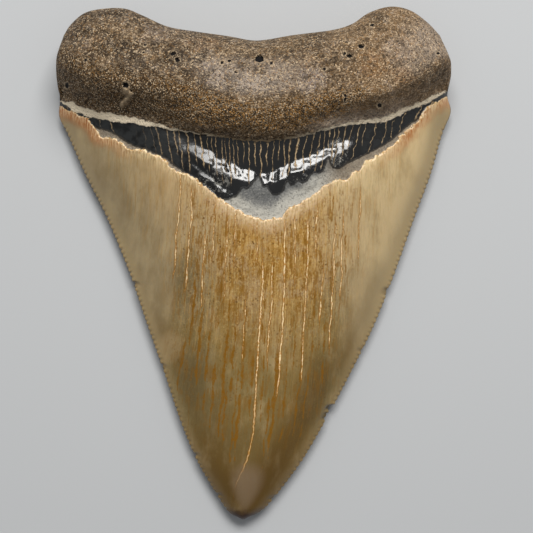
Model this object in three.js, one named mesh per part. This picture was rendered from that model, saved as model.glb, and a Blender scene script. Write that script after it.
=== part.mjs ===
// Fossil megalodon tooth: root, neck band and crown, grown together as one solid.
// It lies on its flatter labial face with the swollen lingual face up.
// Millimetres, +Z up. The tip points to -Y, the root to +Y, and +X is the right cutting edge.
import * as THREE from "three";
import { mergeGeometries, mergeVertices } from "three/addons/utils/BufferGeometryUtils.js";

// Driving dimensions
const LENGTH = 116; // tip to the top of the higher root lobe
const WIDTH = 90; // across the root
const THICKNESS = 24; // floor to the crest of the root bulge

// Heights above the floor
const CUTTING_EDGE = 3; // where the lingual and labial faces of the crown meet
const ROOT_EQUATOR = 9.5; // widest level of the rounded root
const LABIAL_DROP = 10.3; // root equator down to its labial face, which the floor then cuts flat

// The net that each face is laid on, from side to side and from tip to root
const COLUMNS = 36;
const ROWS = 62;
const EDGE_CROWDING = 0.35; // how much closer the columns stand at the edges
const MARGIN_CROWDING = 1.3; // the same for the rows at the root margin, as a power

// Outline of the tooth seen from above: across in widths from the middle, along in lengths from the tip.
const LEFT_EDGE = [
  [-0.043, 0.005], [-0.068, 0.019], [-0.116, 0.078], [-0.177, 0.173], [-0.248, 0.339],
  [-0.31, 0.481], [-0.391, 0.623], [-0.47, 0.754], [-0.494, 0.811], [-0.497, 0.871], [-0.477, 0.944],
];
const RIGHT_EDGE = [
  [-0.008, 0.005], [0.019, 0.019], [0.088, 0.078], [0.167, 0.173], [0.282, 0.339],
  [0.351, 0.481], [0.424, 0.623], [0.478, 0.754], [0.503, 0.811], [0.499, 0.871], [0.469, 0.944],
];
const TIP_ARC = [[-0.043, 0.005], [-0.026, 0], [-0.008, 0.005]];
const ROOT_MARGIN = [
  [-0.477, 0.944], [-0.433, 0.984], [-0.373, 0.999], [-0.313, 0.999], [-0.253, 0.976],
  [-0.173, 0.957], [-0.073, 0.947], [0, 0.937], [0.067, 0.943], [0.167, 0.955],
  [0.227, 0.965], [0.287, 0.99], [0.347, 1.003], [0.407, 0.99], [0.469, 0.944],
];

// Heights down the middle line: share of the way from tip to root margin, then millimetres.
const CROWN_TOP = [
  [0, 4.5], [0.08, 7], [0.22, 9.8], [0.45, 12.8], [0.6, 15], [0.7, 17], [0.8, 18.2], [1, 18.6],
];
const CROWN_DROP = [
  [0, 2.4], [0.08, 3.1], [0.16, 3.5], [0.26, 3.1], [0.45, 2.3], [0.62, 2], [0.8, 2.3], [1, 2.5],
];
const ROOT_TOP = [
  [0.7, 18.6], [0.79, 22.6], [0.88, THICKNESS], [0.94, 23.2], [1, 21],
];

// Where the crown gives way to the root, as shares of the way from tip to root margin
const NECK_MIDDLE = 0.775;
const NECK_SIDE = 0.835;
const NECK_BLEND_MIDDLE = 0.05;
const NECK_BLEND_SIDE = 0.08;
const BULGE_CREST = 0.885;
const TIP_ROUNDING = 0.045;

// Powers that set how full the sections are
const LINGUAL_FULLNESS = 2.2;
const LABIAL_FULLNESS = 4;
const TIP_REACH = 24; // how fast the round of the tip dies away along the crown
const MARGIN_REACH = 6; // the same for the lobes and the notch of the root

const clamp01 = (t) => Math.min(Math.max(t, 0), 1);
const smooth = (t) => clamp01(t) ** 2 * (3 - 2 * clamp01(t));
const mix = (from, to, share) => from + (to - from) * share;

function curveThrough(stations) {
  const points = stations.map(([across, along]) =>
    new THREE.Vector3(across * WIDTH, (along - 0.5) * LENGTH, 0));
  return new THREE.CatmullRomCurve3(points, false, "centripetal");
}

// A smooth height read from a list of [share, millimetres].
function heightAt(stations, share) {
  const last = stations.length - 2;
  const found = stations.findIndex(([start]) => start > share) - 1;
  const i = found < 0 ? last : Math.min(found, last);
  const slope = (k) => {
    const before = stations[Math.max(k - 1, 0)];
    const after = stations[Math.min(k + 1, stations.length - 1)];
    return (after[1] - before[1]) / (after[0] - before[0]);
  };
  const [start, low] = stations[i];
  const [end, high] = stations[i + 1];
  const t = clamp01((share - start) / (end - start));
  const straight = mix(low, high, smooth(t));
  const bend = t * (1 - t) * (slope(i) * (1 - t) - slope(i + 1) * t) * (end - start);
  return straight + bend;
}

const leftEdge = curveThrough(LEFT_EDGE);
const rightEdge = curveThrough(RIGHT_EDGE);
const tipArc = curveThrough(TIP_ARC);
const rootMargin = curveThrough(ROOT_MARGIN);

// The place over the outline: across runs -1 to 1, and share runs 0 at the tip to 1 at the root margin.
function planPoint(across, share) {
  const s = (across + 1) / 2;
  const left = leftEdge.getPointAt(share);
  const right = rightEdge.getPointAt(share);
  const tipBulge = tipArc.getPointAt(s).sub(tipArc.getPointAt(0).lerp(tipArc.getPointAt(1), s));
  const marginBulge = rootMargin.getPointAt(s)
    .sub(rootMargin.getPointAt(0).lerp(rootMargin.getPointAt(1), s));
  return left.lerp(right, s)
    .addScaledVector(tipBulge, (1 - share) ** TIP_REACH)
    .addScaledVector(marginBulge, share ** MARGIN_REACH);
}

// 0 on the crown and 1 on the root, along a neck that sags towards the tip in the middle.
function rootShare(across, share) {
  const neck = mix(NECK_MIDDLE, NECK_SIDE, across ** 2);
  return smooth((share - neck) / mix(NECK_BLEND_MIDDLE, NECK_BLEND_SIDE, across ** 2));
}

// How far a face has swollen out from its rim: a lens on the crown, rounded off at the tip.
function crownFullness(across, share) {
  const tip = Math.sqrt(1 - (1 - clamp01(share / TIP_ROUNDING)) ** 2);
  return (1 - across ** 2) * tip;
}

// The same on the root, which turns over roundly at its sides and past the crest at its margin.
function rootFullness(across, share, power) {
  const past = clamp01((share - BULGE_CREST) / (1 - BULGE_CREST));
  return Math.sqrt((1 - Math.abs(across) ** power) * (1 - past ** power));
}

function lingualHeight(across, share) {
  const crownSwell = (heightAt(CROWN_TOP, share) - CUTTING_EDGE) * crownFullness(across, share);
  const rootSwell = (heightAt(ROOT_TOP, share) - ROOT_EQUATOR)
    * rootFullness(across, share, LINGUAL_FULLNESS);
  return mix(CUTTING_EDGE + crownSwell, ROOT_EQUATOR + rootSwell, rootShare(across, share));
}

// The floor cuts the labial face flat at the root and near the tip, and the crown arches between.
function labialHeight(across, share) {
  const crownDrop = heightAt(CROWN_DROP, share) * crownFullness(across, share);
  const rootDrop = LABIAL_DROP * rootFullness(across, share, LABIAL_FULLNESS);
  const height = mix(CUTTING_EDGE - crownDrop, ROOT_EQUATOR - rootDrop, rootShare(across, share));
  return Math.max(height, 0);
}

// One face of the tooth: a flat net laid over the outline and lifted. The net is closer towards the
// edges and the root margin, where the root turns over. A mirrored net faces down.
function face(heightOf, mirror) {
  const net = new THREE.PlaneGeometry(2, 1, COLUMNS, ROWS);
  net.deleteAttribute("normal");
  net.deleteAttribute("uv");
  const places = net.getAttribute("position");
  for (let i = 0; i < places.count; i += 1) {
    const u = places.getX(i) * mirror;
    const across = u * (1 + EDGE_CROWDING * (1 - u ** 2));
    const share = 1 - (0.5 - places.getY(i)) ** MARGIN_CROWDING;
    const place = planPoint(across, share);
    places.setXYZ(i, place.x, place.y, heightOf(across, share));
  }
  return net;
}

function toothGeometry() {
  const shell = mergeGeometries([face(lingualHeight, 1), face(labialHeight, -1)]);
  const closed = mergeVertices(shell, 1e-4);
  closed.computeBoundingBox();
  const middle = closed.boundingBox.getCenter(new THREE.Vector3());
  closed.translate(-middle.x, -middle.y, 0);
  closed.computeVertexNormals();
  return closed;
}

const fossil = new THREE.MeshStandardMaterial({ color: 0x8c7a55, roughness: 0.45, metalness: 0 });
const tooth = new THREE.Mesh(toothGeometry(), fossil);
tooth.name = "tooth";

const part = new THREE.Group();
part.add(tooth);

export default part;
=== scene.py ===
import math
import random

import bmesh
import bpy
import numpy as np
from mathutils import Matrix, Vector, noise


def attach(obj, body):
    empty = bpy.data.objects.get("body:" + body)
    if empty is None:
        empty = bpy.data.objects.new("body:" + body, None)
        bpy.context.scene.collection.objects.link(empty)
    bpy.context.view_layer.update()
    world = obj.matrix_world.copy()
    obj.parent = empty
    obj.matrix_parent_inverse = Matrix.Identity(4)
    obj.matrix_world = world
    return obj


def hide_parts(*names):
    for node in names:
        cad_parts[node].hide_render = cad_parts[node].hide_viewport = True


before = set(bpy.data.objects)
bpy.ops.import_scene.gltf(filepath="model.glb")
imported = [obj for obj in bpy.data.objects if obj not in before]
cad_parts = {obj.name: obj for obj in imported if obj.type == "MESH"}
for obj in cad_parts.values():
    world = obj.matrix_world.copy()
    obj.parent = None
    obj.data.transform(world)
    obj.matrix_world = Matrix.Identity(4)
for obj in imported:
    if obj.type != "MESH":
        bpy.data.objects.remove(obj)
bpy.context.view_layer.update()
mm = 0.001  # the shape is written in millimetres and the scene is in metres

cameraView = {
    "focalLength": 100.0,
    "sensor": 36.0,
    "height": 342.6,  # above the floor, looking straight down on the lying tooth
    "across": 2.74,
    "along": -0.21,
}


def addCamera(view):
    lens = bpy.data.cameras.new("camera")
    lens.lens = view["focalLength"]
    lens.sensor_width = view["sensor"]
    lens.clip_start = 0.01
    camera = bpy.data.objects.new("camera", lens)
    camera.location = (view["across"] * mm, view["along"] * mm, view["height"] * mm)
    bpy.context.scene.collection.objects.link(camera)
    bpy.context.scene.camera = camera
    print("camera: looking down from", view["height"], "mm")


addCamera(cameraView)

studio = {
    "floorSize": 3.0,
    "floorColour": (0.46, 0.47, 0.48),
    "floorRoughness": 0.9,
    "skyColour": (0.96, 0.98, 1.0),
    "skyStrength": 0.30,
    # name: (place, width, depth, power, colour); every lamp faces the middle of the tooth
    "lamps": {
        "softbox": ((0.07, 0.42, 0.58), 0.50, 0.26, 6.1, (1.0, 0.985, 0.96)),
    },
}


def addFloor(look):
    floorMesh = bmesh.new()
    bmesh.ops.create_grid(floorMesh, x_segments=1, y_segments=1, size=look["floorSize"] / 2)
    data = bpy.data.meshes.new("floor")
    floorMesh.to_mesh(data)
    floorMesh.free()
    floor = bpy.data.objects.new("floor", data)
    bpy.context.scene.collection.objects.link(floor)
    paper = bpy.data.materials.new("floorPaper")
    paper.use_nodes = True
    shader = paper.node_tree.nodes["Principled BSDF"]
    shader.inputs["Base Color"].default_value = (*look["floorColour"], 1.0)
    shader.inputs["Roughness"].default_value = look["floorRoughness"]
    data.materials.append(paper)


def addLight(look):
    sky = bpy.data.worlds.new("studio")
    sky.use_nodes = True
    shade = sky.node_tree.nodes["Background"]
    shade.inputs["Color"].default_value = (*look["skyColour"], 1.0)
    shade.inputs["Strength"].default_value = look["skyStrength"]
    bpy.context.scene.world = sky
    for name, (place, width, depth, power, colour) in look["lamps"].items():
        light = bpy.data.lights.new(name, "AREA")
        light.shape = "RECTANGLE"
        light.size = width
        light.size_y = depth
        light.energy = power
        light.color = colour
        lamp = bpy.data.objects.new(name, light)
        lamp.location = place
        lamp.rotation_euler = (-Vector(place)).to_track_quat("-Z", "Y").to_euler()
        bpy.context.scene.collection.objects.link(lamp)


addFloor(studio)
addLight(studio)
bpy.context.scene.view_settings.view_transform = "Standard"
print("studio: floor,", ", ".join(studio["lamps"]))

# The tooth lies on its labial face with the tip at -Y. Places are (across, along) in millimetres.
toothPlan = {
    "leftEdge": [
        (-3.6, -57.5), (-5.3, -56.6), (-7.0, -54.5), (-10.4, -49.0), (-13.4, -43.5), (-16.8, -35.2),
        (-20.5, -24.2), (-24.4, -13.2), (-28.6, -1.0), (-33.8, 11.6), (-38.6, 21.2), (-42.6, 30.3),
        (-44.5, 34.4), (-44.35, 38.2), (-44.75, 42.2), (-44.3, 46.6), (-42.6, 52.0),
    ],
    "rightEdge": [
        (-1.2, -57.5), (0.9, -56.6), (3.5, -54.5), (7.9, -49.0), (11.8, -43.5), (16.6, -35.2),
        (22.4, -24.2), (27.8, -13.2), (32.6, -1.0), (37.1, 11.6), (40.7, 21.2), (43.3, 30.3),
        (45.25, 35.4), (44.5, 39.0), (44.95, 43.0), (44.3, 46.6), (42.0, 52.0),
    ],
    "tipArc": [(-3.6, -57.5), (-2.4, -58.0), (-1.2, -57.5)],
    "rootMargin": [
        (-42.6, 52.0), (-40.8, 54.6), (-37.6, 57.1), (-33.0, 58.0), (-28.6, 57.9), (-24.6, 56.3),
        (-19.2, 53.9), (-12.9, 52.75), (-5.6, 51.7), (-0.3, 50.75), (3.3, 50.95), (8.7, 51.9),
        (17.7, 53.1), (22.2, 54.5), (26.0, 57.0), (30.8, 58.4), (35.2, 57.6), (39.0, 55.0), (42.0, 52.0),
    ],
    # where one surface gives way to the next, from the left edge to the right
    "rootLine": [
        (-48, 40.5), (-43.7, 37.3), (-39.9, 34.9), (-34.3, 33.1), (-23.5, 31.1), (-13.0, 29.3),
        (-3.0, 27.9), (3.0, 27.5), (10.5, 28.6), (17.4, 30.4), (24.0, 31.6), (29.4, 32.3),
        (34.5, 34.7), (39.7, 37.0), (44.1, 40.0), (48, 42),
    ],
    "enamelLine": [
        (-48, 39), (-43.6, 36.4), (-40.3, 34.8), (-36.8, 32.7), (-34.6, 29.8), (-30.8, 28.7),
        (-27.8, 26.5), (-23.7, 25.7), (-20.0, 23.8), (-17.3, 21.5), (-13.3, 19.9), (-9.8, 17.3),
        (-6.4, 14.6), (-3.0, 12.3), (1.0, 10.8), (3.3, 10.4), (5.6, 10.9), (8.3, 13.1),
        (12.4, 15.2), (16.1, 18.2), (20.8, 19.6), (24.4, 22.5), (28.0, 25.0), (31.3, 27.3),
        (34.2, 30.2), (37.3, 32.8), (39.7, 36.3), (44.5, 39.2), (48, 41.5),
    ],
    # the black skin of the neck is flaked away below this line
    "flakeLine": [
        (-48, 39), (-38, 32.6), (-31.5, 30.2), (-27.5, 27.6), (-20.4, 24.7), (-15, 20.9), (-9.5, 16.9),
        (-6.6, 14.9), (-3.8, 15.8), (-2.4, 17.6), (-1.1, 17.5), (1.3, 19.9), (2.4, 17.7), (3.2, 18.0),
        (4.3, 16.2), (6.2, 16.4), (7.4, 18.9), (8.6, 18.2), (9.8, 18.9), (11.5, 18.8), (13.1, 20.8),
        (15.2, 21.2), (16.6, 24.2), (18.2, 21.8), (21.6, 23.4), (29.6, 27.6), (35.6, 32.4), (48, 41),
    ],
    "labialLine": [(-48, 40.5), (-43.7, 37.3), (-30, 35.0), (0, 33.0), (30, 35.5), (44.1, 39.7), (48, 42)],
    # the glossy fold that runs down to the middle of the neck and up again, and a shorter one beside it
    "foldLine": [
        (-48, 40), (-20, 28.6), (-13.8, 25.9), (-9.8, 24.0), (-5.5, 21.7), (-1.7, 20.0), (1.2, 19.2),
        (3.3, 19.2), (5.9, 20.4), (9.3, 21.6), (14.8, 24.1), (19.3, 26.2), (26, 29.6), (48, 40),
    ],
    "lipLine": [
        (-48, 40), (-15, 23.0), (-11.6, 20.6), (-8.3, 18.5), (-6.2, 16.8), (-4.7, 15.4),
        (0, 12), (48, 11),
    ],
    # heights above the floor by the share of the way from the tip to the root margin
    "cuttingEdge": 3.0,
    "rootEquator": 9.5,
    "crownTop": [
        (0, 4.5), (0.08, 7), (0.22, 9.8), (0.45, 13.0), (0.55, 14.8), (0.62, 15.7),
        (0.7, 16.2), (0.8, 16.6), (1, 17),
    ],
    "rootTop": [(0.7, 20.0), (0.79, 22.6), (0.88, 24), (0.94, 23.2), (1, 21)],
    "crownDrop": [
        (0, 2.4), (0.08, 3.1), (0.16, 3.5), (0.26, 3.1), (0.45, 2.3), (0.62, 2), (0.8, 2.3), (1, 2.5),
    ],
    "rootDrop": 10.3,
    "rootFullness": (2.2, 4.0),  # how squarely each face of the root fills its outline
    "bulgeCrest": 0.885,
    # how far from the neck the root takes to roll up to its full height: left, middle, right
    "bulgeRoll": (8.5, 7.5, 5.8),
    "shoulderFill": 0.9,  # the crown is fuller near its shoulders
    "tipRounding": 0.045,
    # the net that the surface is made of
    "columns": 184,
    "labialColumns": 92,
    "rows": 190,
    "edgeCrowding": 0.25,
    "marginCrowding": 1.3,
    # the cutting edges
    "serrationsEnd": 34,  # how far up the crown they run
    "serrationPitch": 1.17,
    "serrationDepth": 0.30,
    "serrationReach": 1.0,
    "serrationRelief": 0.16,
    "serrationLean": 0.38,
    # chips: edge, place along it (share), width, depth
    "chips": [
        ("right", 0.262, 0.8, 0.9), ("right", 0.245, 1.2, 0.5), ("right", 0.505, 0.9, 0.35),
        ("left", 0.498, 0.5, 0.4), ("left", 0.150, 0.6, 0.25), ("left", 0.062, 0.5, 0.3),
        ("right", 0.062, 0.6, 0.3), ("right", 0.385, 0.5, 0.2), ("left", 0.33, 0.5, 0.25),
    ],
    # waves: height, how many to a millimetre, seed
    "borderWaves": [(0.60, 0.70, 1.0), (0.32, 1.9, 4.0)],
    "rootWaves": [(0.55, 0.13, 3.0), (0.36, 0.33, 8.0), (0.16, 0.9, 5.0), (0.085, 1.7, 9.0)],
    # how far each surface stands above or below the next
    "enamelStep": 0.34,
    "ledgeStep": 0.30,
    "flakeDepth": 0.30,
    "foldHeight": 0.50,
    "foldWidth": 1.8,
    "lipHeight": 0.24,
    "lipWidth": 0.62,
    # the neck is cracked into upright blocks that have shifted a little against each other
    "neckCracks": {
        "middle": 1.28, "sides": 2.3, "widerFrom": 19, "widerOver": 9,  # their spacing
        "uneven": (0.62, 1.38), "lean": 0.009, "shift": 0.34, "lift": 0.07, "seed": 11,
    },
    # open pores of the root: across, along, radius, depth
    "pores": [
        (-17.4, 46.3, 0.62, 1.0), (-16.3, 44.8, 0.55, 0.9), (-6.6, 44.1, 0.42, 0.6), (-5.0, 44.5, 0.32, 0.5),
        (1.5, 45.2, 0.90, 1.3), (4.1, 44.1, 0.38, 0.5), (-3.6, 42.0, 0.34, 0.5), (15.5, 42.7, 0.42, 0.6),
        (19.9, 46.3, 0.42, 0.6), (21.1, 45.7, 0.52, 0.9), (23.7, 48.1, 0.60, 0.9), (20.0, 36.9, 0.32, 0.6),
        (20.1, 36.2, 0.30, 0.6), (20.0, 35.5, 0.26, 0.5), (27.8, 35.3, 0.46, 0.7), (-27.6, 39.5, 0.62, 0.8),
        (-26.5, 38.3, 0.30, 0.5), (-43.9, 39.3, 0.7, 0.9), (-23.5, 48.3, 0.28, 0.4), (-23.9, 46.6, 0.28, 0.4),
        (-36.7, 45.2, 0.42, 0.4), (40.9, 47.2, 0.34, 0.4), (26.3, 53.2, 0.40, 0.5), (-41.9, 40.7, 0.55, 0.4),
    ],
    # soft dark stains on the root, some of them painted shadow beside the pit: across, along, radius,
    # strength
    "stainsAndShadows": [
        (7.7, 46.3, 1.3, 0.6), (13.6, 50.4, 2.2, 0.6), (10.5, 49.9, 1.2, 0.5), (27.6, 54.8, 1.8, 0.6),
        (42.0, 43.6, 1.8, 0.5), (-28.0, 39.0, 2.2, 0.9), (-29.6, 37.6, 1.0, 0.8), (-24.6, 36.4, 2.0, 0.5),
        (-41.5, 40.2, 2.2, 0.85), (-17.0, 45.6, 1.3, 0.4), (21.0, 46.0, 1.3, 0.35), (-31.5, 37.6, 3.6, 0.85),
        (20.0, 37.4, 0.9, 0.5), (38.5, 41.5, 3.0, 0.35),
    ],
    # the curl of bone beside the pit, and the hollow next to it: across, along, radius, height
    "knobs": [
        (-27.7, 38.3, 0.65, 0.8), (-26.7, 37.5, 0.45, 0.9), (-27.5, 36.9, 0.5, 1.0), (-28.2, 36.3, 0.5, 1.0),
        (-28.9, 35.7, 0.45, 0.8), (-30.6, 37.6, 1.6, -0.55),
    ],
    # growth lines follow this axis, and fan out from it: (along, across) and (along, spread)
    "axis": [(-60, -2.6), (-45, -1.2), (-31, 0.3), (-19, 1.1), (-7.4, 1.7), (9, 2.1), (30, 2.3), (60, 2.4)],
    "fanLeft": [(-60, 1.1), (-30, 1.22), (-14, 1.12), (0, 1.07), (20, 1.0), (60, 0.95)],
    "fanRight": [(-60, 0.8), (-40, 0.95), (-25, 1.0), (60, 1.0)],
    "mainCrack": [
        (-60, -6.0), (-49.9, -4.0), (-47.4, -3.0), (-43.2, -1.3), (-39, -0.3), (-36.4, 0.1), (-30.8, 0.4),
        (-19.4, 1.1), (-10, 1.7), (-1.2, 2.2), (9.1, 2.1), (60, 2.3),
    ],
}


def smooth(t):
    t = np.clip(t, 0, 1)
    return t * t * (3 - 2 * t)


def curveThrough(stations):
    # a smooth line through given points, and the length run at each step of it
    points = np.array(stations, float)
    held = np.vstack([2 * points[0] - points[1], points, 2 * points[-1] - points[-2]])
    t = np.linspace(0, 1, 24, endpoint=False)[:, None]
    spans = []
    for a, b, c, d in zip(held, held[1:], held[2:], held[3:]):
        bend = (2 * a - 5 * b + 4 * c - d) * t**2 + (3 * b - a - 3 * c + d) * t**3
        spans.append(0.5 * (2 * b + (c - a) * t + bend))
    line = np.vstack(spans + [points[-1:]])
    run = np.append(0, np.cumsum(np.linalg.norm(np.diff(line, axis=0), axis=1)))
    return line, run


def pointAt(curve, share):
    line, run = curve
    return np.stack([np.interp(share * run[-1], run, line[:, k]) for k in (0, 1)], -1)


def levelAt(stations, place):
    line = curveThrough(stations)[0]
    return np.interp(place, line[:, 0], line[:, 1])


def gapFromLine(stations, spots):
    # signed distance to a border, positive on its root side
    line = curveThrough(stations)[0][::4]
    best = np.full(len(spots), np.inf)
    for start, step in zip(line[:-1], np.diff(line, axis=0)):
        t = np.clip(((spots - start) @ step) / (step @ step), 0, 1)
        best = np.minimum(best, np.linalg.norm(spots - start - t[:, None] * step, axis=1))
    return best * np.sign(spots[:, 1] - np.interp(spots[:, 0], line[:, 0], line[:, 1]))


def wave(spots, scale, seed):
    # soft noise, about -1 to 1
    return np.array([noise.noise(Vector((x * scale, y * scale, z * scale + seed))) for x, y, z in spots])


def waves(spots, parts):
    return sum(height * wave(spots, scale, seed) for height, scale, seed in parts)


outlineParts = ("leftEdge", "rightEdge", "tipArc", "rootMargin")
edgeCurves = {name: curveThrough(toothPlan[name]) for name in outlineParts}


def bulge(name, s):
    # how far an end of the outline stands out from the straight line between its corners
    curve = edgeCurves[name]
    return pointAt(curve, s[:, 0]) - pointAt(curve, 0.0) * (1 - s) - pointAt(curve, 1.0) * s


def planPoint(across, share):
    # the place over the outline: across runs -1 to 1, share 0 at the tip to 1 at the root margin
    s = ((across + 1) / 2)[:, None]
    along = share[:, None]
    sides = pointAt(edgeCurves["leftEdge"], share) * (1 - s) + pointAt(edgeCurves["rightEdge"], share) * s
    return sides + bulge("tipArc", s) * (1 - along) ** 24 + bulge("rootMargin", s) * along**6


def halfWidthAt(share):
    left, right = (pointAt(edgeCurves[name], share)[:, 0] for name in ("leftEdge", "rightEdge"))
    return (right - left) / 2


def bodyHeight(plan, across, share, rootGap, side):
    # the plain height of the lingual (side 1) and labial (side -1) faces
    tip = np.sqrt(1 - (1 - np.clip(share / plan["tipRounding"], 0, 1)) ** 2)
    past = np.clip((share - plan["bulgeCrest"]) / (1 - plan["bulgeCrest"]), 0, 1)
    fuller = plan["shoulderFill"] * smooth((share - 0.58) / 0.16) * (side > 0)
    lens = (1 - np.abs(across) ** (2 + fuller)) * tip
    roll = np.clip(rootGap / np.interp(across, (-0.6, 0, 0.6), plan["bulgeRoll"]), 0, 1)
    gentle = smooth((np.abs(across) - 0.22) / 0.35) * (side > 0)
    roll = (1 - gentle) * (1 - (1 - roll) ** 2) ** 0.8 + gentle * smooth(roll)
    power = np.where(side > 0, *plan["rootFullness"])
    swell = np.sqrt(np.maximum((1 - np.abs(across) ** power) * (1 - past**power), 0))
    cut, waist = plan["cuttingEdge"], plan["rootEquator"]
    lingual = cut + (levelAt(plan["crownTop"], share) - cut) * lens
    lingualRoot = waist + (levelAt(plan["rootTop"], share) - waist) * swell
    labial = cut - levelAt(plan["crownDrop"], share) * lens
    labialRoot = waist - plan["rootDrop"] * swell
    crown = np.where(side > 0, lingual, labial)
    root = np.where(side > 0, lingualRoot, labialRoot)
    return crown + (root - crown) * roll


atRim = 0.9999  # a unit net runs from -1 to 1


def unitNet(plan):
    # two flat nets face to face, welded along their rims: x and y run -1 to 1, z tells the faces apart
    columns, labialColumns = plan["columns"], plan["labialColumns"]
    mesh = bmesh.new()
    bmesh.ops.create_grid(mesh, x_segments=columns, y_segments=plan["rows"], size=1)
    bmesh.ops.translate(mesh, verts=mesh.verts, vec=(0, 0, 1))
    made = bmesh.ops.create_grid(mesh, x_segments=labialColumns, y_segments=plan["rows"], size=1)
    labial = made["verts"]
    bmesh.ops.translate(mesh, verts=labial, vec=(0, 0, -1))
    bmesh.ops.reverse_faces(mesh, faces=list({face for v in labial for face in v.link_faces}))
    ends = [e for e in mesh.edges if e.verts[0].co.z < 0 and all(abs(v.co.y) > atRim for v in e.verts)]
    bmesh.ops.subdivide_edges(mesh, edges=ends, cuts=columns // labialColumns - 1)
    rim = [v for v in mesh.verts if max(abs(v.co.x), abs(v.co.y)) > atRim]
    for v in rim:
        v.co.z = 0
    bmesh.ops.remove_doubles(mesh, verts=rim, dist=1e-5)  # welds the two rims
    return mesh


def netPlaces(mesh, plan):
    # across, share, side and place of every vertex of the net
    mesh.verts.index_update()
    unit = np.array([v.co[:] for v in mesh.verts])
    across = unit[:, 0] * (1 + plan["edgeCrowding"] * (1 - unit[:, 0] ** 2))
    share = 1 - np.maximum((1 - unit[:, 1]) / 2, 0) ** plan["marginCrowding"]
    return across, share, np.where(unit[:, 2] < -0.5, -1.0, 1.0), planPoint(across, share)


def refineNet(mesh, plan):
    # finer rows along the cutting edges, and a finer weave over the neck and the root
    across, share, side, spots = netPlaces(mesh, plan)
    band = plan["serrationReach"] + 0.45
    inward = (1 - np.abs(across)) * halfWidthAt(share)
    nearEdge = (inward < band) & (spots[:, 1] < plan["serrationsEnd"] + 2)
    rungs = [
        e for e in mesh.edges
        if abs(e.verts[0].co.x - e.verts[1].co.x) < 1e-6 and all(nearEdge[v.index] for v in e.verts)
    ]
    bmesh.ops.subdivide_edges(mesh, edges=rungs, cuts=2, use_grid_fill=True)
    across, share, side, spots = netPlaces(mesh, plan)
    fine = (gapFromLine(plan["enamelLine"], spots) > -1.2) & (side > 0) & (np.abs(across) < 0.965)
    weave = [e for e in mesh.edges if all(fine[v.index] for v in e.verts)]
    bmesh.ops.subdivide_edges(mesh, edges=weave, cuts=1, use_grid_fill=True)
    bmesh.ops.triangulate(mesh, faces=[f for f in mesh.faces if len(f.verts) > 4])


def crackPhase(plan, x, y):
    # counts the neck cracks from the left, with whole numbers on the cracks themselves
    cracks = plan["neckCracks"]
    draw = random.Random(cracks["seed"])
    places = [-50.0]
    while places[-1] < 50:
        towardsSide = smooth((abs(places[-1] - 2) - cracks["widerFrom"]) / cracks["widerOver"])
        spacing = cracks["middle"] + (cracks["sides"] - cracks["middle"]) * towardsSide
        places.append(places[-1] + spacing * draw.uniform(*cracks["uneven"]))
    bent = np.column_stack([x * 0.35, y * 0.30, np.zeros(len(x))])
    lean = 1 + cracks["lean"] * (30 - y)
    phase = np.interp(x * lean + 0.45 * wave(bent, 1.0, 12.0), places, np.arange(len(places)))
    shifts = np.array([draw.uniform(-1, 1) for place in places])
    lifts = np.array([draw.uniform(-1, 1) for place in places])
    blocks = np.clip(phase.astype(int), 0, len(places) - 1)
    return phase, cracks["shift"] * shifts[blocks], cracks["lift"] * lifts[blocks]


def foldRelief(gap, height, width):
    # a crest on the tip side of a line and a hollow on its root side
    t = gap / width
    return -height * t * np.exp(0.5 - t**2 / 2)


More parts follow.
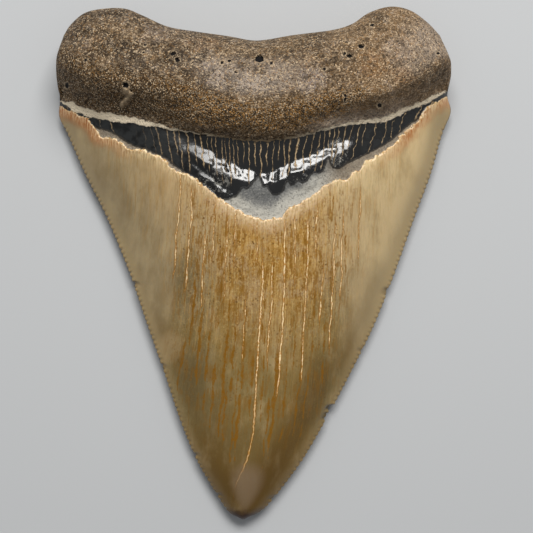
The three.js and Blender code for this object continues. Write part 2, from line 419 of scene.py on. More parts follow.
def shapeTooth(mesh, plan):
    across, share, side, spots = netPlaces(mesh, plan)
    lingual = side > 0
    flat = np.column_stack([spots, np.zeros(len(spots))])
    frayed = waves(flat, plan["borderWaves"])
    labialGap = gapFromLine(plan["labialLine"], spots)
    rootGap = np.where(lingual, gapFromLine(plan["rootLine"], spots), labialGap) + 0.6 * frayed
    enamelGap = np.where(lingual, -gapFromLine(plan["enamelLine"], spots), -labialGap) + frayed
    flakeGap = np.where(lingual, -gapFromLine(plan["flakeLine"], spots), -5) + 0.25 * frayed
    z = bodyHeight(plan, across, share, rootGap, side)

    # serrations: rounded bumps along each cutting edge, with grooves that fade inwards
    inward = (1 - np.abs(across)) * halfWidthAt(share)
    right = across > 0
    edgeLength = np.where(right, edgeCurves["rightEdge"][1][-1], edgeCurves["leftEdge"][1][-1])
    lean = plan["serrationLean"]
    run = share * edgeLength - inward * lean
    edgeGap = inward * math.cos(lean)
    ruler = np.column_stack([run, np.where(right, 40.0, 0.0), np.zeros(len(run))])
    drift = wave(ruler, 0.35, 2.0)
    wear = 0.75 + 0.6 * wave(ruler, 0.8, 7.0)
    bump = np.abs(np.sin(np.pi * (run / plan["serrationPitch"] + 0.35 * drift)))
    band = smooth(1 - edgeGap / plan["serrationReach"]) * smooth((share - 0.01) / 0.03)
    band = band * smooth((plan["serrationsEnd"] - spots[:, 1]) / 4)
    out = plan["serrationDepth"] * wear * (bump - 0.75) * band
    chipped = np.zeros(len(share))
    for edge, place, width, depth in plan["chips"]:
        off = (share - place) * edgeLength
        bite = np.exp(-((off / width) ** 4)) * smooth(1 - edgeGap / 2.2) * (right == (edge == "right"))
        out -= depth * bite
        chipped = np.maximum(chipped, bite * min(depth * 1.6, 1))
    x = spots[:, 0] + np.sign(across) * out * math.cos(lean)
    y = spots[:, 1] - out * math.sin(lean)
    z += plan["serrationRelief"] * wear * (bump - 0.6) * band * (1 - band * 0.5) * side * 1.6

    # growth lines run down the crown, and fan out a little towards the tip
    offAxis = x - levelAt(plan["axis"], y)
    streak = offAxis / np.where(offAxis < 0, levelAt(plan["fanLeft"], y), levelAt(plan["fanRight"], y))
    ripples = wave(np.column_stack([streak * 0.5, y * 0.03, side]), 1.0, 6.0)
    z += 0.10 * ripples * smooth(enamelGap / 2) * smooth(edgeGap / 6) * side

    # the enamel ends in a step, the neck below it has glossy folds, and part of its skin is flaked off
    enamel = smooth(enamelGap / 0.35 + 0.5)
    neck = (1 - enamel) * smooth(-rootGap / 0.5) * lingual
    z += plan["ledgeStep"] * smooth(rootGap / 0.4 + 0.5) * smooth((3 - rootGap) / 3) * lingual
    z += plan["enamelStep"] * enamel * smooth(edgeGap / 2.5) * lingual * smooth(1 - enamelGap / 30)
    phase, shift, lift = crackPhase(plan, x, y)
    ripple = 0.22 * wave(flat, 0.9, 15.0) + shift
    foldGap = gapFromLine(plan["foldLine"], spots) + ripple
    reach = smooth((x + 22) / 12) * smooth((24 - x) / 5) * (1 + 0.35 * wave(flat, 0.6, 18.0))
    z += neck * reach * foldRelief(foldGap, plan["foldHeight"], plan["foldWidth"])
    lipGap = gapFromLine(plan["lipLine"], spots) + ripple * 0.8
    reach = smooth((x + 16) / 4) * smooth((-2.5 - x) / 2)
    z += neck * reach * foldRelief(lipGap, plan["lipHeight"], plan["lipWidth"])
    z += neck * lift * smooth((rootGap + 9.5) / 3)
    z -= plan["flakeDepth"] * neck * smooth(flakeGap / 0.3 + 0.5)

    # the root is lumpy and gritty, with open pores, a pit with a curl of bone, and soft dark stains, some of
    # them painted shadow beside the pit
    body = np.stack([x, y, z], -1)
    onRoot = smooth(rootGap / 2.5) * smooth((1 - np.abs(across)) * 12) * smooth((1 - share) * 30)
    z += onRoot * waves(body, plan["rootWaves"]) * side
    pore, stain, curl = np.full(len(z), -1.0), np.zeros(len(z)), np.zeros(len(z))
    for px, py, radius, depth in plan["pores"]:
        off = np.hypot(x - px, (y - py) * 1.15) / radius
        near = (off < 2.5) & lingual
        off = off[near] + 0.45 * wave(body[near], 1.6, px)
        z[near] -= depth * smooth((1.35 - off) / 0.7)
        pore[near] = np.maximum(pore[near], (1.05 - off) * radius)
    for px, py, radius, height in plan["knobs"]:
        off = np.hypot(x - px, y - py) / radius
        z += height * (np.exp(-(off**2)) - 0.5 * np.exp(-(((off - 2.0) / 0.6) ** 2))) * lingual
        curl = np.maximum(curl, np.exp(-(off**2)) * lingual * (height > 0))
    for px, py, radius, strength in plan["stainsAndShadows"]:
        off = np.hypot(x - px, y - py) / radius
        stain = np.maximum(stain, strength * smooth(1.3 - off * 0.65) * lingual)
    z = np.where(lingual, z, np.maximum(z, 0))

    middle = [(x.min() + x.max()) / 2, (y.min() + y.max()) / 2]
    places = np.stack([x - middle[0], y - middle[1], z], -1) * mm
    for v, place in zip(mesh.verts, places):
        v.co = place
    return {
        "rootGap": rootGap, "enamelGap": enamelGap, "flakeGap": flakeGap, "edgeGap": edgeGap,
        "serration": bump * band, "notch": (1 - bump) * band, "chipped": chipped,
        "pore": pore, "stain": stain, "curl": curl, "crackPhase": phase,
        "streak": streak, "along": y, "across": across, "lingual": lingual.astype(float),
        "crackGap": x - levelAt(plan["mainCrack"], y),
    }


def buildTooth(plan):
    mesh = unitNet(plan)
    refineNet(mesh, plan)
    fields = shapeTooth(mesh, plan)
    for face in mesh.faces:
        face.smooth = True
    data = bpy.data.meshes.new("toothBody")
    mesh.to_mesh(data)
    mesh.free()
    for name, values in fields.items():
        kept = data.attributes.new(name, "FLOAT", "POINT")
        kept.data.foreach_set("value", values.astype(np.float32))
    made = bpy.data.objects.new("toothBody", data)
    bpy.context.scene.collection.objects.link(made)
    data.calc_loop_triangles()
    print("tooth:", len(data.vertices), "vertices,", len(data.loop_triangles), "triangles")
    return made


tooth = buildTooth(toothPlan)

# Colours are linear. Sizes in the finish are in millimetres.
rootLook = {
    "brown": (0.088, 0.056, 0.029), "tan": (0.150, 0.095, 0.047), "grey": (0.082, 0.062, 0.045),
    # pale is also the painted sheen on the bulge's crest and the painted light on the right lobe's flank
    "warm": (0.235, 0.145, 0.072), "pale": (0.38, 0.31, 0.25), "cream": (0.74, 0.56, 0.36),
    # stain also paints the dark underside of the bulge, partly as painted shade, and painted shadow beside
    # the pit
    "shadow": (0.018, 0.011, 0.005), "stain": (0.024, 0.013, 0.004), "gold": (0.40, 0.20, 0.05),
    "rust": (0.30, 0.145, 0.050), "lilac": (0.34, 0.29, 0.27),
    # pore is painted shade inside the open pores
    # rim is a pale cream pushed brighter as painted light
    "rim": (0.98, 0.83, 0.61), "rimShade": (0.44, 0.32, 0.19), "pore": (0.004, 0.003, 0.003),
    # soft patches: place across the growth lines, along, half width, half length, strength
    "rustPatches": [
        (24, 44, 3.5, 3.5, 0.5), (30, 41.5, 3, 2, 0.4), (-38, 47, 3, 4, 0.3), (-14, 49, 4, 2, 0.3),
    ],
    "lilacPatches": [
        (10.5, 40.5, 4, 4, 0.5), (-12, 41.5, 4, 3, 0.4), (29, 47.5, 4, 3, 0.3), (-25, 51, 4, 2.5, 0.25),
    ],
    "grainsPerMm": 2.9, "fineGrainsPerMm": 5.0,
    "roughness": 0.75,
}
neckLook = {
    "black": (0.0045, 0.0045, 0.0042), "slate": (0.020, 0.021, 0.021), "crack": (0.42, 0.30, 0.165),
    # flakeShade darkens the flaked grey towards the black skin's edge, partly as painted shadow, and marks
    # its thin layers
    "crackShade": (0.16, 0.10, 0.05), "flake": (0.45, 0.43, 0.375), "flakeShade": (0.135, 0.135, 0.13),
    # outline is a painted shadow along the edge of the flaked patch
    "speck": (0.045, 0.045, 0.042), "taupe": (0.21, 0.160, 0.105), "outline": (0.012, 0.011, 0.010),
    "crackWidth": 0.120,
    # shattered patches: across, along, half width, half length, strength; their pale flecks are partly
    # painted glints
    "shattered": [(16.2, 24.4, 2.3, 3.8, 1.0), (9.0, 18.6, 3.0, 1.6, 0.6), (-10.6, 18.6, 4.0, 3.0, 0.5)],
    "roughness": 0.16, "slateRoughness": 0.33, "flakeRoughness": 0.55,
    "coat": 1.0,
}
enamelLook = {
    # cream also paints the upper right of the crown paler, as painted light from the right
    "olive": (0.320, 0.243, 0.132), "sand": (0.46, 0.325, 0.165), "cream": (0.56, 0.42, 0.225),
    "amber": (0.40, 0.195, 0.020), "umber": (0.160, 0.092, 0.018), "drab": (0.188, 0.148, 0.058),
    "dove": (0.40, 0.262, 0.130), "frost": (0.58, 0.40, 0.24), "gold": (0.46, 0.20, 0.022),
    "bruise": (0.21, 0.145, 0.085),
    # bandShade paints shade into the bands inside the cutting edges and darkens towards the tip; edge is
    # painted light along the cutting edges
    "shade": (0.130, 0.096, 0.038), "bandShade": (0.085, 0.042, 0.004), "edge": (0.40, 0.29, 0.14),
    "tip": (0.032, 0.009, 0.001), "ochre": (0.210, 0.088, 0.001), "streak": (0.60, 0.41, 0.165),
    # rim is partly a painted highlight on the enamel's broken edge
    "speck": (0.095, 0.038, 0.003), "crack": (0.80, 0.62, 0.36), "rim": (0.85, 0.66, 0.42),
    "rimShade": (0.45, 0.25, 0.08), "stain": (0.36, 0.12, 0.025),
    "bead": (0.36, 0.25, 0.11), "valley": (0.12, 0.075, 0.022), "chip": (0.045, 0.032, 0.010),
    # soft patches: place across the growth lines, along, half width, half length, strength
    "darkPatches": [
        (-15.4, -3, 2.6, 10, 0.6), (-13.5, -12, 3, 8, 0.35), (-11.5, -24, 4, 9, 0.7), (-8, -30, 4, 8, 0.4),
        (21, -30, 4, 10, 0.3), (13.5, -28, 4, 9, 0.5), (0, -41, 6, 6, 0.35),
        (42, 31, 4.5, 8, 0.35), (12, -10, 4, 9, 0.2), (27, -8, 4, 9, 0.25),
    ],
    "lightPatches": [
        (23, -8, 3.5, 9, 0.15), (-17.5, -18.5, 3, 4, 0.45), (3, -14, 4, 9, 0.3), (19, 9, 3.5, 9, 0.55),
        (-16.5, 12, 2.5, 8, 0.5),
    ],
    "goldPatches": [(-3, -24, 6, 12, 0.16), (9, -27, 6, 12, 0.2)],
    "bruisePatches": [(0.02, -50.0, 0.42, 5.5, 0.8)],  # placed by the share of the width
    "roughness": 0.36,
    # fine cream cracks: place across the growth lines, top, bottom, half width
    "cracks": [
        (5.0, 8, -26, 0.15), (2.4, -1, -20, 0.12), (9.9, 10, -24, 0.13), (15.9, 8, -16, 0.12),
        (17.7, 12, -6, 0.10), (13.6, -2, -11, 0.11), (-18.3, 22, 0, 0.12), (-15.5, 15, -4, 0.13),
        (-10.4, 16, 4, 0.09), (-12.2, 6, -8, 0.09), (-7.4, 10, -6, 0.10), (-5.6, 11, 2, 0.08),
        (7.2, 10, -2, 0.09), (-3.0, -8, -18, 0.08), (21.5, 16, 2, 0.08), (0.4, -4, -15, 0.08),
        (11.8, 12, 4, 0.08), (-1.2, 9, 3, 0.08),
    ],
    # ochre stains in the same form
    "ochres": [
        (-6.2, -12, -34, 0.26), (-2.8, -14, -38, 0.26), (-4.7, -16, -27, 0.20), (-11.5, -12, -24, 0.28),
        (4.5, -22, -36, 0.38), (9.6, -22, -34, 0.22), (-3.6, -28, -42, 0.20), (3.4, -31, -42, 0.20),
        (6.8, -26, -34, 0.20), (-8.0, -23, -34, 0.22), (0.9, -4, -14, 0.16), (-8.2, 1, -9, 0.12),
        (12.2, -6, -18, 0.16), (1.6, -19, -32, 0.18), (18.5, 6, -2, 0.08),
        (-13.6, -5, -14, 0.22), (7.9, -13, -22, 0.18), (14.8, -17, -26, 0.18), (-9.6, -17, -28, 0.22),
        (-0.8, -21, -34, 0.16), (-14.6, -18, -25, 0.2), (11.4, -27, -36, 0.18), (-5.4, -30, -38, 0.18),
    ],
}


finish = bpy.data.materials.new("fossilTooth")
finish.use_nodes = True
tree = finish.node_tree  # every helper below adds its nodes here


def addNode(kind, **settings):
    made = tree.nodes.new(kind)
    for name, value in settings.items():
        setattr(made, name, value)
    return made


def feed(socket, value):
    if isinstance(value, bpy.types.NodeSocket):
        tree.links.new(value, socket)
    elif isinstance(value, tuple) and len(value) == 3 and socket.type == "RGBA":
        socket.default_value = (*value, 1.0)
    else:
        socket.default_value = value


def field(name):
    return addNode("ShaderNodeAttribute", attribute_name=name).outputs["Fac"]


def maths(operation, *values):
    made = addNode("ShaderNodeMath", operation=operation)
    for socket, value in zip(made.inputs, values):
        feed(socket, value)
    return made.outputs[0]


def chain(operation, values):
    result = values[0]
    for value in values[1:]:
        result = maths(operation, result, value)
    return result


def plus(*values):
    return chain("ADD", values)


def times(*values):
    return chain("MULTIPLY", values)


def most(*values):
    return chain("MAXIMUM", values)


def absolute(value):
    return maths("ABSOLUTE", value)


def ease(value, low, high):
    # 0 below low, 1 above high, and soft between; turned round where low is the greater
    made = addNode("ShaderNodeMapRange", interpolation_type="SMOOTHSTEP")
    turned = low > high
    for name, number in (("From Min", min(low, high)), ("From Max", max(low, high)),
                         ("To Min", 1.0 if turned else 0.0), ("To Max", 0.0 if turned else 1.0)):
        made.inputs[name].default_value = number
    feed(made.inputs["Value"], value)
    return made.outputs["Result"]


def grain(vector, scale, detail=3.0, roughness=0.55):
    made = addNode("ShaderNodeTexNoise")
    feed(made.inputs["Vector"], vector)
    made.inputs["Scale"].default_value = scale
    made.inputs["Detail"].default_value = detail
    made.inputs["Roughness"].default_value = roughness
    return made.outputs["Fac"]


def sway(vector, scale, reach, detail=3.0):
    # soft noise centred on 0
    return times(maths("SUBTRACT", grain(vector, scale, detail), 0.5), reach)


def blend(share, under, over):
    made = addNode("ShaderNodeMix", data_type="RGBA", clamp_factor=True)
    for index, value in ((0, share), (6, under), (7, over)):
        feed(made.inputs[index], value)
    return made.outputs[2]


def mixValue(share, under, over):
    made = addNode("ShaderNodeMix", data_type="FLOAT", clamp_factor=True)
    for index, value in ((0, share), (2, under), (3, over)):
        feed(made.inputs[index], value)
    return made.outputs[0]


def stretched(across, along, share):
    # a vector whose pattern is drawn out along the growth lines
    made = addNode("ShaderNodeCombineXYZ")
    feed(made.inputs[0], across)
    feed(made.inputs[1], times(along, share))
    return made.outputs[0]


def cells(vector, scale):
    # crisp grains: two random numbers for each, and the distance from its middle
    made = addNode("ShaderNodeTexVoronoi")
    feed(made.inputs["Vector"], vector)
    made.inputs["Scale"].default_value = scale
    parts = addNode("ShaderNodeSeparateColor")
    feed(parts.inputs[0], made.outputs["Color"])
    return parts.outputs[0], parts.outputs[1], made.outputs["Distance"]


def drawn(number):
    # a random value for each whole number
    made = addNode("ShaderNodeTexWhiteNoise", noise_dimensions="1D")
    feed(made.inputs["W"], number)
    return made.outputs["Value"]


def placedLines(place, along, lines):
    # how deep a point lies inside listed lines down the crown, in mm; they taper off at their ends
    total = -9.0
    for across, top, bottom, width in lines:
        off = absolute(maths("SUBTRACT", place, across))
        away = absolute(maths("SUBTRACT", along, (top + bottom) / 2))
        past = most(maths("SUBTRACT", away, (top - bottom) / 2), 0.0)
        inside = maths("SUBTRACT", width, plus(off, times(past, 0.05)))
        total = most(inside, total)
    return total


def softPatches(across, along, patches):
    # listed soft oval patches: place across and along, half width, half length, strength
    total = 0.0
    for x, y, wide, tall, strength in patches:
        aside = maths("DIVIDE", maths("SUBTRACT", across, x), wide)
        away = maths("DIVIDE", maths("SUBTRACT", along, y), tall)
        off = plus(times(aside, aside), times(away, away))
        total = most(total, times(ease(off, 1.5, 0.1), strength))
    return total


def rootSurface(look, spot):
    rootGap, across = field("rootGap"), field("across")
    clouds = grain(spot, 0.13, 4.0)
    mottle = grain(spot, 0.6, 4.0, 0.65)
    sand = grain(spot, 2.3, 2.0, 0.6)
    tone, hue, middle = cells(spot, look["grainsPerMm"])
    fineTone, fineHue = cells(spot, look["fineGrainsPerMm"])[:2]
    colour = blend(ease(clouds, 0.36, 0.62), look["brown"], look["tan"])
    greyZone = times(ease(across, 0.15, -0.3), ease(clouds, 0.66, 0.40))
    colour = blend(times(greyZone, 0.6), colour, look["grey"])
    colour = blend(times(ease(across, 0.25, 0.6), 0.8), colour, look["warm"])
    colour = blend(times(ease(mottle, 0.50, 0.70), 0.5), colour, look["pale"])
    colour = blend(times(ease(mottle, 0.48, 0.32), 0.75), colour, look["stain"])
    # painted light: the right lobe's flank is painted paler, as if more light fell on it
    paintedLobeLight = times(ease(across, 0.60, 0.85), ease(rootGap, 5.0, 8.0), ease(rootGap, 19.0, 13.0), 0.6)
    colour = blend(paintedLobeLight, colour, look["pale"])
    # the crest of the bulge is painted pale: partly its own pale tone, partly a painted sheen of light on the
    # crest
    paleCrestSheen = times(ease(absolute(plus(across, 0.02)), 0.34, 0.05),
                  ease(rootGap, 8.0, 11.0), ease(rootGap, 19.0, 14.0), ease(clouds, 0.30, 0.50))
    colour = blend(times(paleCrestSheen, 0.9), colour, look["pale"])
    along = field("along")
    for patches, tint in (("rustPatches", "rust"), ("lilacPatches", "lilac")):
        spread = softPatches(field("streak"), along, look[patches])
        colour = blend(times(spread, ease(mottle, 0.35, 0.60)), colour, look[tint])
    grime = grain(spot, 0.20, 5.0, 0.65)
    grimy = mixValue(ease(across, 0.2, -0.4), 0.20, 0.75)
    colour = blend(times(ease(grime, 0.54, 0.40), grimy), colour, look["stain"])
    # the underside of the bulge is painted dark, partly a dark stain and partly painted shade, with golden
    # grains, and pales again at the neck
    under = plus(rootGap, times(maths("SUBTRACT", mottle, 0.5), 5.0), times(ease(across, -0.05, -0.45), -3.6))
    under = times(ease(under, 9.4, 5.2), ease(rootGap, 0.6, 2.8), ease(across, 0.75, 0.35))
    colour = blend(times(under, mixValue(ease(across, 0.0, -0.5), 0.88, 0.97)), colour, look["stain"])
    # the listed dark stains, some of them painted shadow beside the pit
    colour = blend(times(field("stain"), ease(mottle, 0.25, 0.5)), colour, look["stain"])
    skirt = times(ease(rootGap, 4.0, 1.0), ease(across, 0.22, 0.4), ease(across, 0.85, 0.62))
    colour = blend(times(skirt, mixValue(ease(mottle, 0.38, 0.55), 0.5, 1.0)), colour, look["pale"])
    # grains: each has its own tone, some are golden, a few cream and a few dark holes
    lit = times(mixValue(under, 1.0, 0.40), mixValue(ease(mottle, 0.40, 0.56), 0.4, 1.05))
    colour = blend(times(ease(hue, 0.68, 0.88), lit, 0.36), colour, look["gold"])
    colour = blend(times(ease(tone, 0.60, 1.0), lit, 0.42), colour, look["cream"])
    colour = blend(times(ease(tone, 0.30, 0.02), 0.62), colour, look["shadow"])
    colour = blend(times(ease(fineTone, 0.88, 0.98), lit, 0.80), colour, look["cream"])
    colour = blend(times(ease(fineTone, 0.22, 0.02), 0.55), colour, look["shadow"])
    golden = times(under, mixValue(ease(across, -0.15, -0.5), 0.8, 0.3))
    colour = blend(times(golden, ease(fineHue, 0.64, 0.76)), colour, look["gold"])
    colour = blend(times(under, ease(fineHue, 0.16, 0.08), 0.7), colour, look["cream"])
    # ragged pale rim where the root meets the neck, wider towards the sides; its cream is partly its own
    # colour and partly painted light, brighter than the light it gets
    ragged = plus(rootGap, sway(spot, 0.9, 1.3, 4.0))
    width = times(ease(absolute(across), 0.28, 0.70), ease(absolute(across), 1.0, 0.9),
                  mixValue(ease(across, 0.3, 0.5), 1.25, 0.7))
    rim = ease(maths("SUBTRACT", ragged, width), 0.40, 0.05)
    rimColour = blend(ease(sand, 0.27, 0.40), look["rimShade"], look["rim"])
    rimColour = blend(ease(absolute(across), 0.35, 0.1), rimColour, look["rimShade"])
    colour = blend(times(rim, 0.9), colour, rimColour)
    # open pores painted near-black inside as painted shade, with pale lips, and the pale curl of bone, its
    # cream partly a painted highlight
    hole = plus(field("pore"), sway(spot, 1.5, 0.9))
    lip = times(ease(hole, -0.45, -0.15), ease(sand, 0.40, 0.60), 0.6)
    colour = blend(lip, colour, look["cream"])
    # the curl of bone is painted cream, partly a painted highlight on it
    colour = blend(times(field("curl"), 0.65), colour, look["cream"])
    colour = blend(ease(hole, -0.04, 0.08), colour, look["pore"])
    height = plus(times(tone, 0.10), times(middle, -0.30), times(fineTone, 0.06),
                  times(mottle, 0.5), times(sand, 0.20))
    return colour, look["roughness"], height


def neckSurface(look, spot):
    rootGap, enamelGap, flakeGap = field("rootGap"), field("enamelGap"), field("flakeGap")
    streak, across, phase = field("streak"), field("across"), field("crackPhase")
    slate = grain(spot, 0.5, 4.0, 0.6)
    sides = plus(ease(across, -0.28, -0.45), ease(across, 0.5, 0.62))
    slateShare = times(sides, ease(slate, 0.36, 0.55))
    dulled = most(slateShare, ease(across, -0.08, -0.42))
    greyed = most(times(slateShare, 0.9), times(ease(slate, 0.58, 0.75), 0.4))
    colour = blend(greyed, look["black"], look["slate"])
    # tan cracks run down from the root, close together in the middle, each with its own width and length
    phase = plus(phase, sway(stretched(streak, field("along"), 0.8), 0.8, 0.75))
    own = drawn(maths("ROUND", phase))
    other = drawn(plus(maths("ROUND", phase), 0.37))
    cracking = toothPlan["neckCracks"]
    spacing = mixValue(ease(absolute(across), 0.42, 0.62), cracking["middle"], cracking["sides"])
    off = times(maths("PINGPONG", phase, 0.5), spacing)
    off = plus(off, sway(spot, 1.6, 0.16, 3.0))
    wide = times(mixValue(own, 0.55, 1.15), look["crackWidth"])
    wide = times(wide, ease(grain(spot, 0.8, 2.0), 0.28, 0.52))
    inside = maths("SUBTRACT", wide, off)
    reach = plus(rootGap, mixValue(other, 4.5, 11.0), sway(spot, 0.7, 1.0))
    reach = ease(reach, 0.0, 1.6)
    sparse = mixValue(ease(across, -0.36, -0.66), 1.0, ease(other, 0.35, 0.7))
    cracks = times(ease(inside, -0.05, 0.03), reach, sparse,
                   mixValue(ease(across, -0.28, -0.50), 1.0, 0.55))
    crackColour = blend(ease(grain(spot, 1.9, 3.0, 0.7), 0.38, 0.55), look["crackShade"], look["crack"])
    colour = blend(times(cracks, 0.95), colour, crackColour)
    # pale flecks on the shattered patches: partly broken flakes, partly painted glints of the broken facets
    shattered = softPatches(streak, field("along"), look["shattered"])
    flecksAndGlints = times(shattered, ease(grain(spot, 1.1, 4.0, 0.75), 0.53, 0.59))
    colour = blend(times(flecksAndGlints, 0.8), colour, look["flake"])
    # the black skin has flaked off above the enamel and shows grey matter in thin layers; the grey darkens
    # towards the black skin's edge, partly its own tone and partly painted shadow under that edge
    flakeEdge = plus(flakeGap, sway(spot, 1.4, 0.7))
    flake = ease(flakeEdge, -0.06, 0.06)
    shade = grain(spot, 2.6, 4.0, 0.75)
    depth = plus(enamelGap, sway(spot, 0.6, 1.6))
    layers = grain(stretched(depth, streak, 0.05), 1.7, 2.0)
    flakeColour = blend(ease(depth, -4.2, -1.4), look["flakeShade"], look["flake"])
    flakeColour = blend(times(ease(layers, 0.52, 0.36), 0.45), flakeColour, look["flakeShade"])
    flakeColour = blend(times(ease(absolute(streak), 11.0, 18.0), 0.85), flakeColour, look["taupe"])
    flakeColour = blend(times(ease(shade, 0.48, 0.34), 0.75), flakeColour, look["speck"])
    flakeColour = blend(times(ease(shade, 0.54, 0.66), 0.5), flakeColour, look["flake"])
    colour = blend(flake, colour, flakeColour)
    # painted shadow: a dark line along the flake's edge, where the black skin steps down to the grey
    outline = times(ease(absolute(plus(flakeEdge, -0.12)), 0.34, 0.08), 0.85)
    colour = blend(outline, colour, look["outline"])
    matte = most(flake, cracks)
    rough = mixValue(dulled, look["roughness"], look["slateRoughness"])
    rough = mixValue(matte, rough, look["flakeRoughness"])
    height = plus(times(shattered, grain(spot, 0.9, 3.0, 0.6), 0.9), times(slate, 0.15),
                  times(grain(spot, 1.6, 4.0, 0.65), 0.06),
                  times(cracks, -0.14), times(flake, shade, 0.20))
    gloss = times(maths("SUBTRACT", 1.0, matte), mixValue(dulled, look["coat"], 0.15))
    return colour, rough, height, gloss


def enamelSurface(look, spot):
    streak, along, across = field("streak"), field("along"), field("across")
    edgeGap, enamelGap, lingual = field("edgeGap"), field("enamelGap"), field("lingual")
    clouds = grain(spot, 0.07, 3.0)
    mist = grain(stretched(streak, along, 0.40), 0.30, 4.0, 0.6)
    wavering = plus(streak, sway(spot, 1.2, 0.5))
    long = stretched(streak, along, 0.05)
    short = stretched(wavering, along, 0.17)
    broad = grain(long, 0.32, 4.0, 0.6)
    fine = grain(long, 1.9, 4.0, 0.75)
    fibres = grain(stretched(wavering, along, 0.10), 3.2, 3.0, 0.7)
    dashes = grain(short, 1.35, 3.0, 0.65)
    dust = grain(spot, 1.8, 3.0, 0.7)

    # the ground tone: olive at the left, sand and cream towards the upper right, umber below; the cream of
    # the upper right is painted light, as if lit more from the right
    upperSand = times(ease(across, -0.85, -0.45), ease(along, -4.0, 18.0))
    colour = blend(upperSand, look["olive"], look["sand"])
    paintedRightLight = times(ease(across, 0.05, 0.62), ease(along, -16.0, 18.0))
    colour = blend(paintedRightLight, colour, look["cream"])
    lower = ease(plus(along, times(clouds, 16.0)), 14.0, -34.0)
    colour = blend(lower, colour, look["umber"])
    middle = times(ease(plus(absolute(plus(streak, -0.8)), times(broad, 5.0)), 24.5, 16.5),
                   ease(along, -50.0, -24.0), lingual)
    patchy = grain(spot, 0.19, 5.0, 0.65)
    core = plus(absolute(plus(streak, -2.5)), times(broad, 8.0), times(patchy, 8.0))
    core = times(ease(core, 24.0, 14.0), mixValue(ease(enamelGap, 1.0, 5.0), 0.4, 1.0))
    core = mixValue(ease(along, -8.0, -20.0), core, 1.0)
    warm = times(middle, core, mixValue(ease(broad, 0.34, 0.62), 0.6, 1.0),
                 mixValue(ease(patchy, 0.40, 0.54), 0.45, 0.92))
    drab = times(middle, ease(along, 2.0, -16.0), ease(along, -52.0, -34.0), 0.85)
    colour = blend(drab, colour, look["drab"])
    colour = blend(times(warm, mixValue(ease(along, -28.0, 2.0), 0.06, 1.0)), colour, look["amber"])
    pinkish = times(middle, ease(patchy, 0.52, 0.40), ease(along, -22.0, -4.0), 0.65)
    colour = blend(pinkish, colour, look["dove"])
    colour = blend(times(ease(mist, 0.56, 0.30), ease(edgeGap, 1.0, 3.0), 0.30), colour, look["umber"])
    colour = blend(times(ease(mist, 0.46, 0.74), 0.35), colour, look["cream"])
    colour = blend(softPatches(streak, along, look["darkPatches"]), colour, look["shade"])
    colour = blend(softPatches(streak, along, look["lightPatches"]), colour, look["sand"])
    colour = blend(softPatches(streak, along, look["goldPatches"]), colour, look["ochre"])
    margin = times(ease(edgeGap, 5.5, 0.5), ease(across, 0.3, 0.8), ease(along, -22.0, -4.0))
    colour = blend(times(margin, 0.95), colour, look["olive"])

    # painted shade: dark soft bands inside the cutting edges; painted light: a lighter strip at the very
    # edge, where light shines through the thin enamel
    paintedEdgeShade = times(ease(edgeGap, 1.2, 4.5), ease(edgeGap, 12.0, 6.0), ease(along, -6.0, -30.0))
    paintedEdgeShade = times(paintedEdgeShade, mixValue(ease(across, -0.4, 0.4), 0.75, 1.3))
    paintedEdgeShade = times(paintedEdgeShade, mixValue(ease(clouds, 0.35, 0.6), 0.25, 0.48))
    colour = blend(paintedEdgeShade, colour, look["bandShade"])
    paintedEdgeLight = plus(edgeGap, sway(spot, 0.35, 1.8))
    paintedEdgeLight = times(ease(paintedEdgeLight, 3.0, 0.8), mixValue(ease(along, 8.0, -30.0), 0.55, 0.28))
    colour = blend(paintedEdgeLight, colour, look["edge"])

    # fibres, dashes and specks of the middle, strongest near the neck
    texture = times(middle, ease(enamelGap, 0.5, 2.5))
    upper = times(texture, mixValue(ease(along, -24.0, -2.0), 0.10, 1.0), mixValue(core, 0.6, 1.0))
    lined = times(texture, mixValue(ease(along, -24.0, 4.0), 0.5, 1.0))
    colour = blend(times(upper, ease(fine, 0.54, 0.60), 0.44), colour, look["streak"])
    colour = blend(times(lined, ease(fine, 0.46, 0.39), 0.32), colour, look["speck"])
    colour = blend(times(upper, ease(fibres, 0.56, 0.64), 0.55), colour, look["streak"])
    colour = blend(times(upper, ease(fibres, 0.46, 0.38), 0.60), colour, look["amber"])
    patch = ease(grain(spot, 0.16, 3.0), 0.38, 0.58)
    colour = blend(times(lined, ease(dashes, 0.58, 0.62), patch, 0.75), colour, look["ochre"])
    thread = absolute(maths("SUBTRACT", grain(stretched(wavering, along, 0.06), 0.75, 3.0), 0.5))
    gaps = ease(grain(stretched(streak, along, 0.5), 0.55, 3.0), 0.46, 0.54)
    colour = blend(times(lined, ease(thread, 0.055, 0.022), gaps, 0.8), colour, look["ochre"])
    tone, hue, off = cells(spot, 1.35)
    off = plus(off, sway(spot, 2.6, 0.75), times(hue, 0.18))
    clustered = ease(grain(spot, 0.30, 2.0), 0.46, 0.58)
    dots = times(ease(off, 0.40, 0.26), ease(tone, 0.45, 0.55), clustered)
    colour = blend(times(dots, lined, 0.85), colour, look["speck"])
    colour = blend(times(upper, ease(dust, 0.56, 0.62), 0.50), colour, look["ochre"])
    colour = blend(times(upper, ease(dust, 0.44, 0.36), 0.50), colour, look["streak"])
    colour = blend(times(texture, ease(dust, 0.66, 0.73), 0.6), colour, look["speck"])
    faint = times(ease(along, -24.0, 5.0), ease(edgeGap, 3.0, 9.0))
    colour = blend(times(faint, ease(fine, 0.5, 0.62), 0.26), colour, look["amber"])
    colour = blend(times(faint, ease(fibres, 0.5, 0.38), 0.22), colour, look["umber"])
    frost = times(ease(enamelGap, 4.0, 0.8), ease(absolute(streak), 17.0, 10.0))
    colour = blend(times(frost, mixValue(ease(dust, 0.45, 0.56), 0.10, 0.70)), colour, look["frost"])

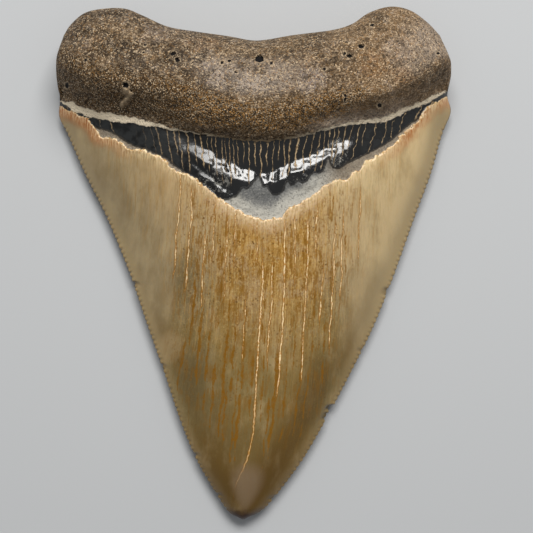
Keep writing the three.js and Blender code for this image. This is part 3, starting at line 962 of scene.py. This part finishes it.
    # cream cracks and ochre lines, the long crack down the middle
    swayed = plus(streak, sway(spot, 0.12, 1.6, 2.0), sway(spot, 0.6, 0.45, 2.0))
    drawnOut = stretched(streak, along, 0.45)
    fray = plus(sway(spot, 1.9, 0.55), sway(drawnOut, 0.6, 1.25))
    stained = plus(placedLines(swayed, along, look["ochres"]), fray, -0.05)
    stained = times(ease(stained, -0.10, 0.08), lingual, mixValue(ease(dust, 0.62, 0.44), 0.6, 1.0))
    colour = blend(stained, colour, look["ochre"])
    swelling = plus(sway(spot, 1.7, 0.30), sway(drawnOut, 0.7, 0.45), -0.02)
    hair = plus(placedLines(swayed, along, look["cracks"]), swelling)
    mainOff = absolute(plus(field("crackGap"), sway(spot, 0.7, 0.7), sway(spot, 2.2, 0.15)))
    mainReach = times(ease(along, -51.0, -49.0), ease(along, 8.0, -3.0))
    mainHair = plus(times(mainReach, 0.24), times(swelling, 0.7), -0.08)
    hair = most(hair, maths("SUBTRACT", mainHair, mainOff))
    halo = times(ease(hair, -0.26, -0.02), lingual, mixValue(ease(along, 12.0, -24.0), 0.55, 0.8))
    colour = blend(halo, colour, look["ochre"])
    cracks = times(ease(hair, -0.07, 0.02), lingual)
    colour = blend(times(cracks, 0.85), colour, look["gold"])
    beads = grain(spot, 1.3, 3.0, 0.7)
    beads = times(ease(hair, -0.01, 0.09), mixValue(ease(beads, 0.39, 0.51), 0.2, 1.0),
                  mixValue(ease(along, -22.0, -36.0), 1.0, 0.5))
    colour = blend(times(beads, lingual), colour, look["crack"])

    # the worn tip, the stained shoulder, the beads and chips of the cutting edges
    bruise = softPatches(across, along, look["bruisePatches"])
    colour = blend(bruise, colour, look["bruise"])
    shaded = times(ease(along, -40.0, -54.0), mixValue(ease(absolute(across), 0.05, 0.5), 0.15, 0.5))
    colour = blend(shaded, colour, look["bandShade"])
    colour = blend(ease(plus(along, sway(spot, 0.6, 2.5)), -54.8, -57.2), colour, look["tip"])
    shoulder = times(ease(enamelGap, 3.6, 0.6), ease(absolute(across), 0.62, 0.86),
                     ease(clouds, 0.26, 0.46))
    colour = blend(times(shoulder, 0.9), colour, look["stain"])
    colour = blend(times(field("serration"), 0.35), colour, look["bead"])
    colour = blend(times(field("notch"), 0.5), colour, look["valley"])
    colour = blend(times(field("chipped"), 0.8), colour, look["chip"])
    haze = times(ease(enamelGap, 2.6, 0.4), mixValue(ease(fibres, 0.42, 0.58), 0.0, 0.5))
    colour = blend(times(haze, lingual), colour, look["crack"])
    # the pale rim where the enamel ends: partly the broken edge's own colour, partly a painted highlight
    # where that edge faces the light
    rim = plus(enamelGap, sway(spot, 1.4, 0.8, 4.0), sway(spot, 0.25, 1.0, 2.0))
    rim = ease(rim, 0.50, 0.12)
    rimColour = blend(ease(dust, 0.40, 0.56), look["rimShade"], look["rim"])
    colour = blend(times(rim, lingual), colour, rimColour)
    height = plus(times(fine, 0.05), times(cracks, -0.06), times(upper, dust, 0.08),
                  times(upper, fibres, 0.05))
    rough = mixValue(rim, look["roughness"], 0.6)
    return colour, rough, height


# what the three surfaces share
finishLook = {
    "bump": 0.9, "specular": 0.3, "coatRoughness": 0.11, "enamelCoat": 0.1,
    # the little light that goes under the skin of the enamel, and how far each colour of it goes
    "under": 0.15, "underRadius": (1.0, 0.55, 0.25), "underScale": 1.2,
}


def joinSurfaces(look):
    shader = tree.nodes["Principled BSDF"]
    place = addNode("ShaderNodeTexCoord").outputs["Object"]
    mapping = addNode("ShaderNodeMapping")
    feed(mapping.inputs["Vector"], place)
    mapping.inputs["Scale"].default_value = (1 / mm, 1 / mm, 1 / mm)
    spot = mapping.outputs["Vector"]
    rootColour, rootRough, rootHeight = rootSurface(rootLook, spot)
    neckColour, neckRough, neckHeight, neckGloss = neckSurface(neckLook, spot)
    enamelColour, enamelRough, enamelHeight = enamelSurface(enamelLook, spot)
    ragged = sway(spot, 1.1, 0.8, 4.0)
    onRoot = ease(plus(field("rootGap"), ragged), -0.08, 0.08)
    onEnamel = ease(plus(field("enamelGap"), ragged), -0.08, 0.08)
    colour = blend(onRoot, blend(onEnamel, neckColour, enamelColour), rootColour)
    rough = mixValue(onRoot, mixValue(onEnamel, neckRough, enamelRough), rootRough)
    height = mixValue(onRoot, mixValue(onEnamel, neckHeight, enamelHeight), rootHeight)
    gloss = mixValue(onRoot, mixValue(onEnamel, neckGloss, look["enamelCoat"]), 0.0)
    skin = times(onEnamel, maths("SUBTRACT", 1.0, onRoot))
    bump = addNode("ShaderNodeBump")
    bump.inputs["Strength"].default_value = look["bump"]
    bump.inputs["Distance"].default_value = mm
    feed(bump.inputs["Height"], height)
    feed(shader.inputs["Normal"], bump.outputs["Normal"])
    feed(shader.inputs["Base Color"], colour)
    feed(shader.inputs["Roughness"], rough)
    feed(shader.inputs["Coat Weight"], gloss)
    feed(shader.inputs["Subsurface Weight"], times(skin, look["under"]))
    shader.inputs["Coat Roughness"].default_value = look["coatRoughness"]
    shader.inputs["Specular IOR Level"].default_value = look["specular"]
    shader.inputs["Subsurface Radius"].default_value = look["underRadius"]
    shader.inputs["Subsurface Scale"].default_value = look["underScale"] * mm
    print("finish:", finish.name, "with", len(tree.nodes), "nodes")


joinSurfaces(finishLook)
tooth.data.materials.append(finish)
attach(tooth, "root")
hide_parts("tooth")
